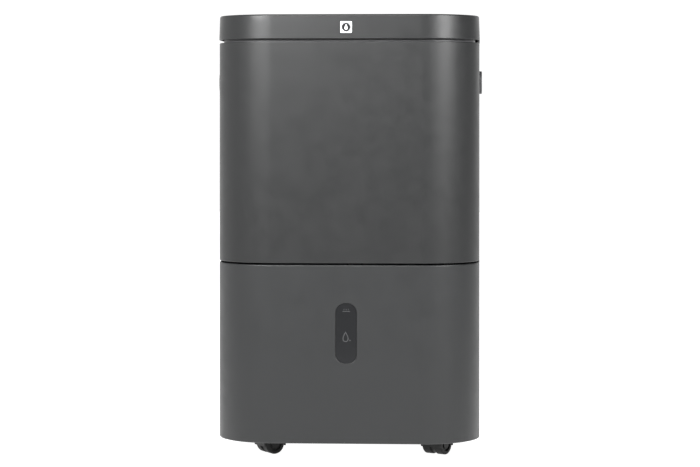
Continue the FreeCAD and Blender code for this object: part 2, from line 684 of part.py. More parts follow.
def coil_runs():
    """The heights of a coil tube's runs, and their pitch."""
    low, high = COIL_Z[0] + 17, COIL_Z[1] - 17
    pitch = (high - low) / (TUBE_RUNS - 1)
    return [low + i * pitch for i in range(TUBE_RUNS)], pitch


def coil_fins(y):
    """A pack of upright fins with holes for the tube's runs, joined at its top and bottom."""
    low, high = COIL_Z
    half = COIL_FIN_GAP / 2
    pack = box(-COIL_X, COIL_X, y, y + COIL_THICK, low, high)
    gaps = []
    for i in range(COIL_FIN_GAPS):
        x = (i - (COIL_FIN_GAPS - 1) / 2) * COIL_FIN_PITCH
        gaps.append(box(x - half, x + half, y - 1, y + COIL_THICK + 1, low + 3, high - 3))
    runs, _ = coil_runs()
    holes = [rod("x", TUBE_R + 0.1, y + COIL_THICK / 2, z, -COIL_X - 1, COIL_X + 1) for z in runs]
    return pack.cut(gaps).cut(holes)


def coil_tube(y, side):
    """One copper tube that runs to and fro through the fins, with both of its ends on one side."""
    runs, pitch = coil_runs()
    middle = y + COIL_THICK / 2
    turn_x = COIL_X + 2 + pitch / 2
    points = [(side * TUBE_END_X, middle, runs[0])]
    for i, (lower, upper) in enumerate(zip(runs, runs[1:])):
        x = -side * turn_x if i % 2 == 0 else side * turn_x
        points += [(x, middle, lower), (x, middle, upper)]
    points.append((side * TUBE_END_X, middle, runs[-1]))
    return bent_pipe(points, pitch / 2 - 0.01, TUBE_R)


def foot_places():
    x, y = COMPRESSOR
    turns = [math.radians(turn) for turn in (90, 210, 330)]
    return [(x + FEET_R * math.cos(turn), y + FEET_R * math.sin(turn)) for turn in turns]


def compressor():
    """The hermetic compressor can, with its three-lobed foot plate, domed top and terminal cover."""
    x, y = COMPRESSOR
    bottom, top = COMPRESSOR_Z
    can = rod("z", COMPRESSOR_R, x, y, bottom, top)
    can = can.makeFillet(18, level_edges(can, "z", top))
    can = can.makeFillet(8, level_edges(can, "z", bottom))
    plate = [rod("z", COMPRESSOR_R + 4, x, y, *FOOT_PLATE_Z)]
    plate += [rod("z", 10.0, foot_x, foot_y, *FOOT_PLATE_Z) for foot_x, foot_y in foot_places()]
    cover = rounded("z", x - 22, x + 22, y - 18, y + 18, 6, top - 1, top + 24)
    holes = [rod("z", 5.0, foot_x, foot_y, TRAY_Z, bottom + OVER) for foot_x, foot_y in foot_places()]
    return fused([can, cover] + plate).cut(holes)


def compressor_feet():
    """Rubber grommets and their studs, which carry the compressor on the tray."""
    plate_bottom, plate_top = FOOT_PLATE_Z
    stud_r = 3.0
    parts = []
    for x, y in foot_places():
        below = rod("z", 8.0, x, y, TRAY_TOP_Z, plate_bottom)
        waist = rod("z", 4.9, x, y, plate_bottom - 1, plate_top + 1)
        above = rod("z", 7.5, x, y, plate_top, plate_top + 3.5)
        rubber = fused([below, waist, above]).cut(rod("z", stud_r, x, y, TRAY_Z, plate_top + 20))
        parts += [rubber, rod("z", stud_r, x, y, TRAY_TOP_Z, plate_top + 6.5)]
    return Part.makeCompound(parts)


def refrigerant_pipes():
    """Discharge and suction pipes with the suction accumulator."""
    x, y = COMPRESSOR
    runs, _ = coil_runs()
    condenser_y, evaporator_y = CONDENSER_Y + COIL_THICK / 2, EVAPORATOR_Y + COIL_THICK / 2
    top_run, bend = runs[-1], 8.0
    tank_x, tank_y, tank_low, tank_high = -29.0, -100.0, 300.0, 400.0
    inlet_z, cross_z, floor_z = 288.6, 486.0, 302.0
    left_x, right_x, loop_x, loop_z = -160.0, 162.0, 20.0, 420.0
    tank = rod("z", 19.0, tank_x, tank_y, tank_low, tank_high)
    tank = tank.makeFillet(12, level_edges(tank, "z", tank_low) + level_edges(tank, "z", tank_high))
    stub = bent_pipe(
        [(tank_x, tank_y, tank_low), (tank_x, tank_y, inlet_z), (x + 47, y + 6, inlet_z)], 7, TUBE_R)
    discharge = bent_pipe(
        [(x - 32, y + 10, COMPRESSOR_Z[1] - 8), (x - 32, y + 10, cross_z), (x - 32, 20, cross_z),
         (left_x, 20, cross_z), (left_x, condenser_y, cross_z), (left_x, condenser_y, top_run),
         (-TUBE_END_X, condenser_y, top_run)], bend, TUBE_R)
    suction = bent_pipe(
        [(TUBE_END_X, evaporator_y, top_run), (right_x, evaporator_y, top_run),
         (right_x, evaporator_y, floor_z), (right_x, -70, floor_z), (120, -98, floor_z),
         (loop_x, -98, floor_z), (loop_x, -98, loop_z), (tank_x, tank_y, loop_z),
         (tank_x, tank_y, tank_high)], bend, TUBE_R)
    can = compressor()
    return Part.makeCompound([tank, suction.cut(tank), discharge.cut(can), stub.cut([tank, can])])


# ---- Air path -----------------------------------------------------------------------------------------
def scroll_wire(inset, y, top):
    """The fan housing's spiral outline: it widens steadily from its tongue round to the upright outlet."""
    start, turn, growth, samples = 80.0, 280.0, 22.0, 15
    curve = []
    for i in range(samples):
        share = i / (samples - 1)
        angle = math.radians(start + turn * share)
        radius = FAN_R + 8 + growth * share - inset
        curve.append(vec(FAN_X + radius * math.cos(angle), y, FAN_Z + radius * math.sin(angle)))
    spiral = Part.BSplineCurve()
    spiral.interpolate(curve)
    outlet_top = vec(curve[-1].x, y, top)
    tongue_top = vec(curve[0].x + inset, y, top)
    tongue = vec(curve[0].x + inset, y, curve[0].z)
    edges = [spiral.toShape()]
    edges.append(Part.LineSegment(curve[-1], outlet_top).toShape())
    edges.append(Part.LineSegment(outlet_top, tongue_top).toShape())
    edges.append(Part.LineSegment(tongue_top, tongue).toShape())
    if inset:
        edges.append(Part.LineSegment(tongue, curve[0]).toShape())
    return Part.Wire(edges)


def fan_scroll():
    """The snail-shaped fan housing, with an inlet ring towards the coils and its outlet upwards."""
    y0, y1 = SCROLL_Y
    outer = Part.Face(scroll_wire(0, y0, SCROLL_TOP_Z)).extrude(vec(0, y1 - y0, 0))
    inner = Part.Face(scroll_wire(SCROLL_WALL, y0 + 2, SCROLL_TOP_Z + 2)).extrude(vec(0, y1 - y0 - 4, 0))
    inlet = rod("y", 52.0, FAN_X, FAN_Z, y1 - OVER, y1 + OVER)
    shaft_hole = rod("y", 10.0, FAN_X, FAN_Z, y0 - OVER, y0 + OVER)
    feet = [box(x - 5, x + 5, y0 + 8, y1 - 8, TRAY_TOP_Z, FAN_Z - 84) for x in (FAN_X - 12, FAN_X + 28)]
    return fused([outer.cut(inner).cut([inlet, shaft_hole])] + [foot.cut(outer) for foot in feet])


def duct_neck(grow, low, high):
    """The duct's neck, which joins the fan housing through the deck."""
    left, right = FAN_X + 11.2, FAN_X + 100.0
    y0, y1 = SCROLL_Y
    return rounded("z", left - grow, right + grow, y0 - 2 - grow, y1 + 2 + grow, 3 + grow, low, high)


def outlet_duct():
    """The flat plenum that spreads the fan's air to the full width of the outlet."""
    wall = 2.0
    x0, x1, _, y1 = OUTLET
    y0 = SCROLL_Y[0] - wall
    floor, roof = DECK_TOP_Z + MOULD_GAP, OUTLET_BOTTOM_Z
    plenum = rounded("z", x0, x1, y0, y1, 5.0, floor, roof)
    plenum = plenum.fuse(duct_neck(0, SCROLL_TOP_Z + 0.2, floor + 1))
    hollow = rounded("z", x0 + wall, x1 - wall, y0 + wall, y1 - wall, 3.0, floor + wall, roof - wall)
    throat = duct_neck(-wall, SCROLL_TOP_Z, floor + wall + 1)
    return plenum.cut([hollow, outlet_mouth(roof - 3, roof + 1), throat]).removeSplitter()


def fan_wheel():
    """The forward-curved blower wheel: a back disc, a ring of blades and a rim."""
    back, front = FAN_Y
    chord, thick, lean = 15.5, 1.4, 32.0
    disc = rod("y", FAN_R, FAN_X, FAN_Z, back, back + 2.4)
    boss = rod("y", 10.0, FAN_X, FAN_Z, back - 2, 4)
    rim = rod("y", FAN_R, FAN_X, FAN_Z, front - 3, front)
    rim = rim.cut(rod("y", FAN_R - 5, FAN_X, FAN_Z, front - 4, front + 1))
    blades = []
    for i in range(FAN_BLADES):
        blade = Part.makeBox(chord, front - back - 3, thick, vec(-chord / 2, back + 2, -thick / 2))
        blade.rotate(vec(0, 0, 0), vec(0, 1, 0), lean)
        blade.translate(vec(FAN_R - 7.4, 0, 0))
        blade.rotate(vec(0, 0, 0), vec(0, 1, 0), 360 / FAN_BLADES * i)
        blade.translate(vec(FAN_X, 0, FAN_Z))
        blades.append(blade)
    wheel = fused([disc, boss, rim] + blades).common(rod("y", FAN_R, FAN_X, FAN_Z, back - 3, front + 1))
    return wheel.cut(rod("y", SHAFT_R, FAN_X, FAN_Z, back - 10, front))


def fan_motor():
    """The fan motor, held by three legs in front of the scroll."""
    front_y, back_y = -74.0, -32.0
    body = rod("y", MOTOR_R, FAN_X, FAN_Z, front_y, back_y)
    body = body.makeFillet(7, level_edges(body, "y", front_y))
    nose = rod("y", 13.0, FAN_X, FAN_Z, back_y - 1, SCROLL_Y[0] - 1.5)
    legs = []
    for turn in (90, 210, 330):
        angle = math.radians(turn)
        x, z = FAN_X + (MOTOR_R - 4) * math.cos(angle), FAN_Z + (MOTOR_R - 4) * math.sin(angle)
        legs.append(rod("y", 5.0, x, z, back_y - 2, SCROLL_Y[0]))
    return fused([body, nose] + legs).cut(rod("y", SHAFT_R + RUNNING_GAP, FAN_X, FAN_Z, front_y + 12, 0))


def motor_shaft():
    return rod("y", SHAFT_R, FAN_X, FAN_Z, -60, 6)


def control_box():
    """The box for the power electronics above the compressor, with its board, relay and run capacitor."""
    x0, x1, y0, y1, z0, z1 = CONTROL_BOX
    wall, board_z = 2.0, z0 + 11.0
    board_top = board_z + 1.6
    shell = rounded("z", x0, x1, y0, y1, 5, z0, z1)
    shell = shell.cut(rounded("z", x0 + wall, x1 - wall, y0 + wall, y1 - wall, 3, z0 + wall, z1 + OVER))
    for x in (x0 + 4, x1 - 4):
        shell = shell.fuse(box(x - 2, x + 2, -80, -66, z0 + 1, board_z))
    board = box(x0 + 3, x1 - 3, y0 + 3, y1 - 3, board_z, board_top)
    relay = box(-136, -118, -100, -82, board_top, board_top + 17.4)
    cradle = box(-104, -70, -62, -50, board_top, board_top + 1.6)
    capacitor = rod("x", 13.0, -56, 517, -112, -62).cut(box(-FAR, 0, -FAR, 0, z0, board_top + 1.6))
    return Part.makeCompound([shell.removeSplitter(), board, relay, capacitor, cradle])


def gland_neck(grow, y0, y1):
    """The square neck that keeps the mains bushing from turning."""
    x, z = GLAND
    half = GLAND_HALF + grow
    return centred("y", x, half, z, half, GLAND_CORNER + grow, y0, y1)


def cord_gland():
    """The flexible bushing in the back where the mains lead comes out."""
    flange_top = REAR_Y + 2.5
    flange = rod("y", 13.5, *GLAND, REAR_Y, flange_top)
    flange = flange.makeFillet(0.8, level_edges(flange, "y", flange_top))
    neck = gland_neck(0, REAR_Y - 9, REAR_Y + 0.5)
    barb = gland_neck(1.4, REAR_Y - 6.5, REAR_Y - WALL)
    return fused([neck, flange, barb]).cut(rod("y", GLAND_BORE, *GLAND, REAR_Y - 20, REAR_Y + 10))


# ---- Bucket -------------------------------------------------------------------------------------------
def window_shape(grow, y0, y1):
    width, height, radius = LEVEL_WINDOW
    return centred("y", 0, width / 2 + grow, LEVEL_WINDOW_Z, height / 2 + grow, radius + grow, y0, y1)


def bucket_front():
    """The bucket's outside face: it wraps the front corners and covers the cabinet's whole lower front."""
    skin = plan_prism(0, SKIRT_Z, BUCKET_TOP_Z)
    skin = skin.makeFillet(1.8, outer_edges(skin, BUCKET_TOP_Z))
    skin = skin.makeFillet(RIM_FILLET, outer_edges(skin, SKIRT_Z))
    skin = skin.cut(plan_prism(WALL, SKIRT_Z - OVER, BUCKET_TOP_Z + OVER))
    rim = band(WALL - 0.5, 6, BUCKET_TOP_Z - WALL, BUCKET_TOP_Z)
    shell = front_half(fused([skin, rim])).cut(window_shape(0, FRONT_Y - OVER, FRONT_Y + OVER))
    around_window = [e for e in level_edges(shell, "y", FRONT_Y) if LEVEL_WINDOW[0] > abs(e.BoundBox.Center.x)
                     and abs(e.BoundBox.Center.z - LEVEL_WINDOW_Z) < LEVEL_WINDOW[1] * 0.6]
    shell = shell.makeFillet(1.0, around_window)
    spacers = []
    for x in (-90, -45, 45, 90):
        spacers.append(box(x - 1, x + 1, FRONT_Y + WALL - 0.5, TUB_FRONT_Y, TUB_FLOOR_Z + 12, TUB_RIM_Z - 27))
    return fused([shell] + spacers)


def level_window():
    """The smoked window over the water level, set back in the front's opening, on a tube to the tub."""
    lens = window_shape(0, FRONT_Y + 1.6, FRONT_Y + 3.2)
    flange = window_shape(4, FRONT_Y + WALL, FRONT_Y + 4)
    tube = window_shape(-3, FRONT_Y + 3.9, TUB_FRONT_Y).cut(window_shape(-5, FRONT_Y + 5, TUB_FRONT_Y + OVER))
    return fused([lens, flange, tube])


def tub_plan(inset, z0, z1):
    half, front_y, rear_y = TUB_SIDE_X - inset, TUB_FRONT_Y + inset, TUB_REAR_Y - inset
    front, rear = CORNER_FRONT - TUB_INSET - inset, TUB_REAR_CORNER - inset
    return rounded("z", -half, half, front_y, rear_y, (front, front, rear, rear), z0, z1)


def bucket_tub():
    """The water container, with the handle's pivot pins outside and the float's pin inside."""
    tub = tub_plan(0, TUB_FLOOR_Z, TUB_RIM_Z)
    tub = tub.makeFillet(6.0, level_edges(tub, "z", TUB_FLOOR_Z))
    hollow = tub_plan(TUB_WALL, TUB_FLOOR_Z + TUB_WALL, TUB_RIM_Z + OVER)
    hollow = hollow.makeFillet(4.0, level_edges(hollow, "z", TUB_FLOOR_Z + TUB_WALL))
    pins = []
    for sign in (-1, 1):
        pin = sorted((sign * (TUB_SIDE_X - 1), sign * (TUB_SIDE_X + 8.4)))
        boss = sorted((sign * (TUB_SIDE_X - 1), sign * (TUB_SIDE_X + 2.6)))
        pins += [rod("x", HANDLE_PIN_R, *HANDLE_PIVOT, *pin), rod("x", 6.0, *HANDLE_PIVOT, *boss)]
    pins.append(rod("x", FLOAT_PIN_R, *FLOAT_PIVOT, FLOAT_X - 15, TUB_SIDE_X - 1))
    pins.append(rod("x", 4.0, *FLOAT_PIVOT, FLOAT_X - 15, FLOAT_X - 13))
    return fused([tub.cut(hollow)] + pins)


def bucket_lid():
    """The splash lid on the tub, with the drip inlet, a pouring opening and a locating skirt."""
    thick, skirt_drop, fit = 3.0, 5.0, 0.3
    top = TUB_RIM_Z + thick
    lid = tub_plan(TUB_WALL, TUB_RIM_Z, top)
    lid = lid.makeFillet(0.9, level_edges(lid, "z", top))
    skirt = tub_plan(TUB_WALL + fit, TUB_RIM_Z - skirt_drop, TUB_RIM_Z + 0.5)
    skirt = skirt.cut(tub_plan(TUB_WALL + fit + 2, TUB_RIM_Z - skirt_drop - 1, TUB_RIM_Z + 1))
    inlet = rounded("z", -46, 46, 44, 104, 12, TUB_RIM_Z - skirt_drop, top + OVER)
    inlet_rim = rounded("z", -49, 49, 41, 107, 15, TUB_RIM_Z + 1, top + 2)
    pour = rounded("z", -148, -96, 30, 106, 14, TUB_RIM_Z - 3, top + OVER)
    float_slot = rounded("z", 122, 150, 78, 110, 6, TUB_RIM_Z - 3, top + OVER)
    return fused([lid, skirt, inlet_rim]).cut([inlet, pour, float_slot])


def bucket_handle():
    """The carrying bail, folded forward round the tub behind the front's rim."""
    pivot_y, pivot_z = HANDLE_PIVOT
    outer, inner = HANDLE_BAND
    low, high = pivot_z - HANDLE_HALF_HEIGHT, pivot_z + HANDLE_HALF_HEIGHT
    bail = band(outer, inner, low, high).common(box(-FAR, FAR, -FAR, pivot_y, 0, HEIGHT))
    grip = rounded("z", -48, 48, FRONT_Y + 5.5, FRONT_Y + 15.2, 4.4, low, high)
    parts = [bail, grip]
    for sign in (-1, 1):
        eye = sorted((sign * (SIDE_X - inner), sign * (SIDE_X - outer)))
        parts.append(rod("x", 8.0, pivot_y, pivot_z, *eye))
    return fused(parts).cut(rod("x", HANDLE_PIN_R + RUNNING_GAP, pivot_y, pivot_z, -SIDE_X, SIDE_X))


def float_arm():
    """The float: a block on a short lever, with the magnet's seat on top."""
    y, z = FLOAT_PIVOT
    hub = rod("x", 6.0, y, z, FLOAT_X - 7, FLOAT_X + 7)
    arm = box(FLOAT_X - 4, FLOAT_X + 4, y + 2, y + 30, z - 5, z + 1)
    neck = box(FLOAT_X - 4, FLOAT_X + 4, y + 22, y + 32, z - 10, z + 1)
    block = rounded("x", y + 22, y + 54, z - 26, z - 5, 6, FLOAT_X - 12, FLOAT_X + 12)
    seat = rod("z", 5.0, FLOAT_X, y + 42, z - 6, z + 1)
    return fused([hub, arm, neck, block, seat]).cut(rod("x", FLOAT_PIN_R + RUNNING_GAP, y, z, 0, SIDE_X))


# ---- Castors ------------------------------------------------------------------------------------------
def placed(shape, x, y, turn):
    """Moves a castor part, made with its stem on the Z axis and its axle along X, to its place."""
    shape.rotate(vec(0, 0, 0), vec(0, 0, 1), turn)
    shape.translate(vec(x, y, 0))
    return shape


def axle_rod(radius, x0, x1):
    """A cylinder on the castor's axle line."""
    return rod("x", radius, CASTOR_TRAIL, WHEEL_R, x0, x1)


def round_edges(shape):
    return [edge for edge in shape.Edges if edge.Curve.TypeId == "Part::GeomCircle"]


def castor_fork(x, y, turn):
    """The hood over both wheels, its web, the axle and the steel stem."""
    half = CASTOR_WEB / 2 + WHEEL_WIDTH + 0.8
    inside_r = WHEEL_R + 1.0
    crown_top = BASE_Z - 1.2
    hood = axle_rod(inside_r + HOOD_WALL, -half, half)
    hood = hood.makeFillet(HOOD_WALL, round_edges(hood))
    hood = hood.cut(axle_rod(inside_r, -FAR, FAR))
    hood = hood.cut(box(-FAR, FAR, -FAR, FAR, -OVER, WHEEL_R - 3))
    web = axle_rod(WHEEL_R - 2, -CASTOR_WEB / 2, CASTOR_WEB / 2)
    half_web = CASTOR_WEB / 2
    stay = box(-half_web, half_web, CASTOR_TRAIL - 12, CASTOR_TRAIL + 12, WHEEL_R, 2 * WHEEL_R + 1.8)
    crown = rod("z", 7.0, 0, 0, 2 * WHEEL_R - 1.0, crown_top).cut(axle_rod(inside_r, -FAR, FAR))
    body = fused([hood, web, stay, crown]).cut(axle_rod(AXLE_R, -FAR, FAR))
    axle = axle_rod(AXLE_R, -half + 2.6, half - 2.6)
    stem_top = TUB_FLOOR_Z - 4
    stem = rod("z", STEM_R, 0, 0, crown_top, stem_top)
    stem = stem.makeChamfer(0.8, level_edges(stem, "z", stem_top))
    return placed(Part.makeCompound([body, axle, stem]), x, y, turn)


def castor_wheel(x, y, turn, side):
    """One of a castor's two wheels, dished on its outside, with a bore for the axle."""
    near = CASTOR_WEB / 2 + 0.4
    far = near + WHEEL_WIDTH - 0.2
    wheel = axle_rod(WHEEL_R, *sorted((side * near, side * far)))
    wheel = wheel.makeFillet(1.8, round_edges(wheel))
    wheel = wheel.cut(axle_rod(WHEEL_R - 4.5, *sorted((side * (far - 2.2), side * (far + OVER)))))
    wheel = wheel.fuse(axle_rod(6.0, *sorted((side * (far - 2.6), side * (far - 0.3)))))
    wheel = wheel.cut(axle_rod(AXLE_R + RUNNING_GAP, *sorted((side * (near - OVER), side * (far - 1.2)))))
    return placed(wheel.removeSplitter(), x, y, turn)


# ---- Output -------------------------------------------------------------------------------------------
def main():
    os.makedirs("parts", exist_ok=True)
    single_parts = [
        lid_shell, lid_badge, control_panel, display_board, outlet_frame, louvre_link, louvre_motor,
        top_frame, front_casing, rear_casing, side_grips, casing_screws, base_pan, intake_grille,
        filter_frame, filter_mesh,
        chassis_tray, drain_plug, compressor, compressor_feet, refrigerant_pipes, fan_scroll, outlet_duct,
        fan_wheel, fan_motor, motor_shaft, control_box, cord_gland, bucket_front, level_window, bucket_tub,
        bucket_lid, bucket_handle,
    ]
    for make in single_parts:
        write(make.__name__, make())
    write("float", float_arm())
    for name, x in BUTTONS.items():
        write(name, button(x))
    for i, y in enumerate(louvre_places()):
        write(f"louvre_{i + 1}", louvre(y, driven=i == 0))
    write("condenser_fins", coil_fins(CONDENSER_Y))
    write("evaporator_fins", coil_fins(EVAPORATOR_Y))
    write("condenser_tubes", coil_tube(CONDENSER_Y, side=-1))
    write("evaporator_tubes", coil_tube(EVAPORATOR_Y, side=1))
    for name, (x, y, turn) in CASTORS.items():
        write(f"castor_{name}", castor_fork(x, y, turn))
        write(f"castor_{name}_wheel_a", castor_wheel(x, y, turn, -1))
        write(f"castor_{name}_wheel_b", castor_wheel(x, y, turn, 1))


main()
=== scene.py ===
import json
import math

import bmesh
import bpy
from mathutils import Matrix, Vector

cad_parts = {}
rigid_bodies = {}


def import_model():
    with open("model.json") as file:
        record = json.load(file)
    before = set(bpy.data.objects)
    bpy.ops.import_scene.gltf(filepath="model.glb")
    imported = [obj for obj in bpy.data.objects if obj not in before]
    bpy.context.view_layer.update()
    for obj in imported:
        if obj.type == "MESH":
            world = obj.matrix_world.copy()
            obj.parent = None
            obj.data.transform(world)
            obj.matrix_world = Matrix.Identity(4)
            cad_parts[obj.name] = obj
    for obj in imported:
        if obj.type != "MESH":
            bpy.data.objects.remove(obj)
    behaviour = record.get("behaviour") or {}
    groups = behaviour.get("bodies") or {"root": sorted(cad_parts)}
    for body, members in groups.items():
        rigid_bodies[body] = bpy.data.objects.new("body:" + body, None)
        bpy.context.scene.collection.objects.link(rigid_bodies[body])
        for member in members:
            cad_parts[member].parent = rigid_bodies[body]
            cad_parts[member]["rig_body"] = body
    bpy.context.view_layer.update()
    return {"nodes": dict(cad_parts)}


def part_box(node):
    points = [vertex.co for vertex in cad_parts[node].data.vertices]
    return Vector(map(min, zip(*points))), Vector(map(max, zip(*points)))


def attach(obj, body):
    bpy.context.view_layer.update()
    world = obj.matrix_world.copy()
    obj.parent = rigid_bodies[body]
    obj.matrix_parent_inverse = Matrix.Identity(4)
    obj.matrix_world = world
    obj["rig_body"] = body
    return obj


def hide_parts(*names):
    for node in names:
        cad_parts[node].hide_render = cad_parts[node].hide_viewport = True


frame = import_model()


# ---- Camera -------------------------------------------------------------------------------------------
# A long lens on a level camera, a little below the side grips and to the right of the front's middle.
# The frame is shifted down, so that the cabinet's uprights stay parallel.
CAMERA_PLACE = (0.179, -3.287, 0.463)
CAMERA_TURN = 0.0551
camera = bpy.data.objects.new("camera", bpy.data.cameras.new("camera"))
camera.data.sensor_width = 36.0
camera.data.lens = 120.7
camera.data.shift_y = -0.168
camera.location = CAMERA_PLACE
camera.rotation_euler = (math.pi / 2, 0, CAMERA_TURN)
bpy.context.scene.collection.objects.link(camera)
bpy.context.scene.camera = camera


# ---- Castors ------------------------------------------------------------------------------------------
# Four twin-wheel castors. Each has a black nylon hood over two hard nylon wheels on a steel axle, and a
# plated steel stem that plugs into the base pan.
MM = 0.001


def surface(name, colour, roughness, grain=0.5, depth=0.12, mottle=0.06, streaks=(1, 1, 1), edge_wear_and_highlight=0.0,
            uneven=0.06, **uniform):
    """A finish: a base colour with soft mottling, a fine grain in the surface, and paler edges that are
    partly wear and partly a painted highlight.
    """
    material = bpy.data.materials.new(name)
    material.use_nodes = True
    nodes, links = material.node_tree.nodes, material.node_tree.links
    shader = nodes["Principled BSDF"]
    place = nodes.new("ShaderNodeTexCoord")
    mapping = nodes.new("ShaderNodeMapping")
    mapping.inputs["Scale"].default_value = streaks
    links.new(place.outputs["Object"], mapping.inputs["Vector"])

    def noise(scale, detail):
        texture = nodes.new("ShaderNodeTexNoise")
        texture.inputs["Scale"].default_value = scale
        texture.inputs["Detail"].default_value = detail
        links.new(mapping.outputs["Vector"], texture.inputs["Vector"])
        return texture.outputs[0]

    def mixed(factor, a, b):
        mix = nodes.new("ShaderNodeMix")
        mix.data_type = "RGBA"
        links.new(factor, mix.inputs["Factor"])
        for socket, value in ((mix.inputs[6], a), (mix.inputs[7], b)):
            if isinstance(value, bpy.types.NodeSocket):
                links.new(value, socket)
            else:
                socket.default_value = (*value, 1)
        return mix.outputs[2]

    def spread(value, low, high, a, b):
        node = nodes.new("ShaderNodeMapRange")
        for socket, number in zip(("From Min", "From Max", "To Min", "To Max"), (low, high, a, b)):
            node.inputs[socket].default_value = number
        links.new(value, node.inputs["Value"])
        return node.outputs["Result"]

    darker = [c * (1 - mottle) for c in colour]
    paler = [c * (1 + mottle) for c in colour]
    tone = mixed(spread(noise(14, 4), 0.35, 0.65, 0, 1), darker, paler)
    rough = spread(noise(55, 3), 0.3, 0.7, max(roughness - uneven, 0.02), min(roughness + uneven, 1))
    # Paler rounded edges, lightened where the bevelled normal turns from the true one: partly rubbed wear,
    # partly a painted edge highlight.
    if edge_wear_and_highlight:
        round_normal = nodes.new("ShaderNodeBevel")
        round_normal.samples = 4
        round_normal.inputs["Radius"].default_value = 0.7 * MM
        true_normal = nodes.new("ShaderNodeNewGeometry")
        product = nodes.new("ShaderNodeVectorMath")
        product.operation = "DOT_PRODUCT"
        links.new(round_normal.outputs["Normal"], product.inputs[0])
        links.new(true_normal.outputs["Normal"], product.inputs[1])
        edge = spread(product.outputs["Value"], 0.97, 0.80, 0, edge_wear_and_highlight)
        tone = mixed(edge, tone, [min(c * 1.6 + 0.03, 1) for c in colour])
    links.new(tone, shader.inputs["Base Color"])
    links.new(rough, shader.inputs["Roughness"])
    bump = nodes.new("ShaderNodeBump")
    bump.inputs["Strength"].default_value = depth
    bump.inputs["Distance"].default_value = grain * MM * 0.4
    links.new(noise(1 / (grain * MM), 2), bump.inputs["Height"])
    links.new(bump.outputs["Normal"], shader.inputs["Normal"])
    for socket, value in uniform.items():
        shader.inputs[socket.replace("_", " ")].default_value = value
    return material


def fitted(name, work, material, body, stands_for=(), crease=32):
    """Turns a finished bmesh into a piece with soft shading, creased at its corners, riding on a body."""
    limit = math.radians(crease)
    for edge in work.edges:
        edge.smooth = edge.is_manifold and edge.calc_face_angle(0) < limit
    for face in work.faces:
        face.smooth = True
    mesh = bpy.data.meshes.new(name)
    work.to_mesh(mesh)
    work.free()
    mesh.materials.append(material)
    piece = bpy.data.objects.new(name, mesh)
    bpy.context.scene.collection.objects.link(piece)
    weights = piece.modifiers.new("even shading", "WEIGHTED_NORMAL")
    weights.keep_sharp = True
    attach(piece, body)
    if stands_for:
        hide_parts(*stands_for)
    return piece


def deburred(node, material, crease=32, name=None):
    """A CAD part with its triangles joined into one skin, so that its round faces shade smoothly."""
    work = bmesh.new()
    work.from_mesh(frame["nodes"][node].data)
    bmesh.ops.remove_doubles(work, verts=work.verts, dist=0.002 * MM)
    body = frame["nodes"][node]["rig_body"]
    return fitted(name or node + "_finished", work, material, body, [node], crease)


black_nylon = surface("black_nylon", (0.004, 0.004, 0.0042), 0.5, grain=0.35, depth=0.10, edge_wear_and_highlight=0.25,
                      Specular_IOR_Level=0.3)
tread_nylon = surface("tread_nylon", (0.004, 0.004, 0.004), 0.6, grain=0.6, depth=0.25, mottle=0.2, edge_wear_and_highlight=0.25,
                      Specular_IOR_Level=0.3)
CASTORS = ("castor_front_left", "castor_front_right", "castor_rear_left", "castor_rear_right")
for castor in CASTORS:
    deburred(castor, black_nylon)
    for side in "ab":
        deburred(f"{castor}_wheel_{side}", tread_nylon)


# ---- Base pan and chassis tray ------------------------------------------------------------------------
# Two injection mouldings. The black base pan is the cabinet's floor, with the bucket's rails on it. The
# pale chassis tray above the bucket carries the machinery, and drips into the bucket through its spout.
black_moulding = surface("black_moulding", (0.028, 0.028, 0.030), 0.46, grain=0.45, depth=0.16, edge_wear_and_highlight=0.35)
pale_moulding = surface("pale_moulding", (0.52, 0.53, 0.52), 0.42, grain=0.5, depth=0.08, mottle=0.03)
deburred("base_pan", black_moulding)
deburred("chassis_tray", pale_moulding)


# ---- Compressor and pipes -----------------------------------------------------------------------------
# A welded steel can in black enamel on three rubber feet, with bare copper suction and discharge pipes.
enamel = surface("enamel", (0.010, 0.010, 0.011), 0.22, grain=1.2, depth=0.10, mottle=0.1)
rubber = surface("rubber", (0.018, 0.018, 0.018), 0.72, grain=0.5, depth=0.2, mottle=0.12)
copper = surface("copper", (0.66, 0.30, 0.17), 0.26, grain=0.8, depth=0.10, mottle=0.22, uneven=0.1,
                 Metallic=1.0)
deburred("compressor", enamel)
deburred("compressor_feet", rubber)
deburred("refrigerant_pipes", copper)


# ---- Coils --------------------------------------------------------------------------------------------
# Evaporator in front of the rear intake, condenser behind it: thin aluminium fins pressed on a copper
# tube that runs to and fro, between two galvanised end plates.
mill_aluminium = surface("mill_aluminium", (0.74, 0.75, 0.76), 0.30, grain=0.7, depth=0.1, mottle=0.06,
                         streaks=(1, 1, 0.06), Metallic=1.0)
galvanised = surface("galvanised", (0.55, 0.56, 0.57), 0.38, grain=3.0, depth=0.08, mottle=0.16, Metallic=1.0)
FIN_PITCH = 1.7 * MM
FIN_THICK = 0.14 * MM
END_PLATE = 1.0 * MM


def block(work, low, high):
    """Adds a box between two corners, and returns its vertices."""
    low, high = Vector(low), Vector(high)
    made = bmesh.ops.create_cube(work, size=1.0)["verts"]
    bmesh.ops.scale(work, vec=high - low, verts=made)
    bmesh.ops.translate(work, vec=(low + high) / 2, verts=made)
    return made


